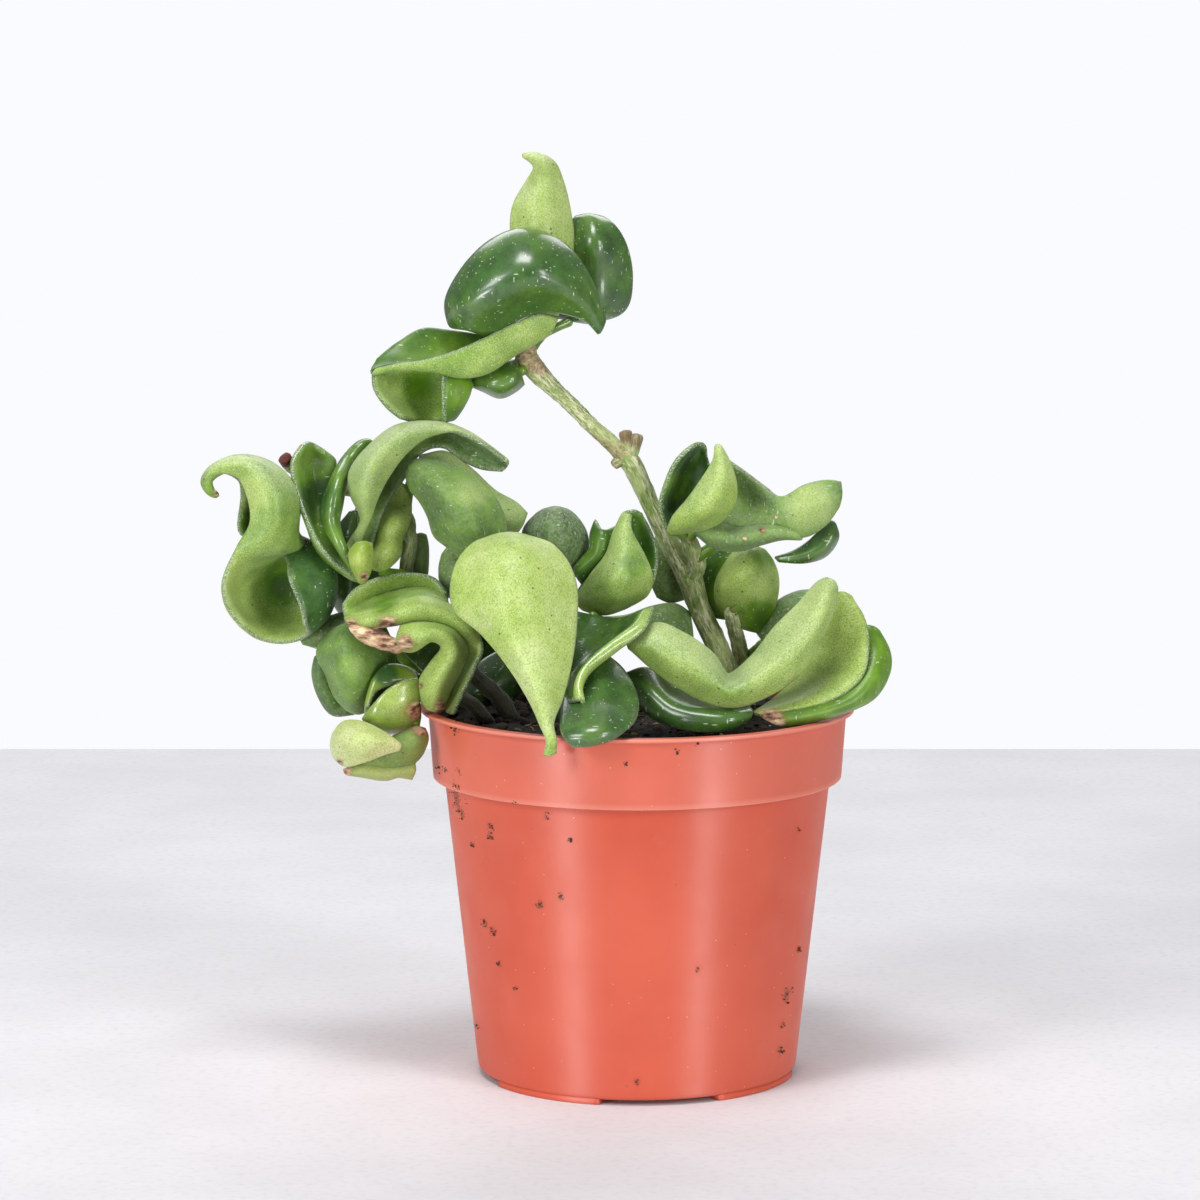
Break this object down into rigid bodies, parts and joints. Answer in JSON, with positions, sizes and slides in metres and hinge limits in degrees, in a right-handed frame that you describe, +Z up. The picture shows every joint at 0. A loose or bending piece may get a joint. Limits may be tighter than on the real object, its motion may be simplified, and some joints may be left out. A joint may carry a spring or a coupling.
{
  "type": "potted hindu rope plant",
  "caption": "Curly-leaved wax plant with thick cupped and twisted leaves on arching vines, rooted in dark soil in a round thin-walled plastic nursery pot with a lip and a rim collar",
  "frame": {"origin": "centre of the disc under the pot's floor, on the surface that the pot stands on", "axes": "+Z up along the pot's axis, +X to the right as seen in the picture, +Y away from the viewer"},
  "size_m": [0.1874, 0.1271, 0.2547],
  "materials": {
    "pot": "satin moulded plastic, terracotta colour",
    "soil": "damp dark peat, rough",
    "stem": "grey-green bark with tan streaks, rough",
    "leaf_dark": "waxy dark green upper side, semi-gloss",
    "leaf_light": "waxy light green underside, satin",
    "leaf_dusty": "grey-green leaf with a dull bloom"
  },
  "bodies": {
    "root": {"pot": "pot", "stem_main": "stem", "stem_right": "stem", "stem_left": "stem", "stem_low_left": "stem", "stem_centre": "stem", "stem_inner": "stem", "stem_back": "stem", "leaf_right_vee": "leaf_light", "leaf_right_cupped": "leaf_light", "leaf_right_low_glossy": "leaf_dark", "leaf_right_round": "leaf_light", "leaf_right_grey": "leaf_dusty", "leaf_branch_upright": "leaf_light", "leaf_branch_long": "leaf_dusty", "leaf_branch_small": "leaf_dark", "leaf_behind_stem": "leaf_dusty", "leaf_centre_large": "leaf_light", "leaf_centre_round": "leaf_dark", "leaf_centre_lime_edge": "leaf_dark", "leaf_centre_twisted": "leaf_light", "leaf_centre_dusty": "leaf_dusty", "leaf_centre_behind": "leaf_dusty", "leaf_rolled_over_rim": "leaf_light", "leaf_low_round": "leaf_dusty", "leaf_low_glossy": "leaf_dark", "leaf_low_folded_end": "leaf_light", "leaf_low_brown": "leaf_dusty", "leaf_low_dark": "leaf_dusty", "leaf_left_hooked": "leaf_light", "leaf_left_boat": "leaf_dark", "leaf_left_arching": "leaf_light", "leaf_left_bud": "leaf_light", "leaf_left_yellow": "leaf_light", "leaf_left_dusty": "leaf_dusty", "leaf_left_strip": "leaf_dusty", "leaf_left_shaded": "leaf_dusty", "leaf_left_small": "leaf_dusty", "leaf_left_behind": "leaf_dark", "leaf_top_dome": "leaf_dark", "leaf_top_long": "leaf_light", "leaf_top_cup": "leaf_light", "leaf_top_curl": "leaf_dark", "leaf_top_hook": "leaf_light", "leaf_top_lobe": "leaf_dark", "leaf_back_left": "leaf_dark", "leaf_back_inner": "leaf_dark", "leaf_back_middle": "leaf_dusty", "leaf_back_right": "leaf_dark", "leaf_back_low": "leaf_light", "soil": "soil"}
  },
  "joints": []
}
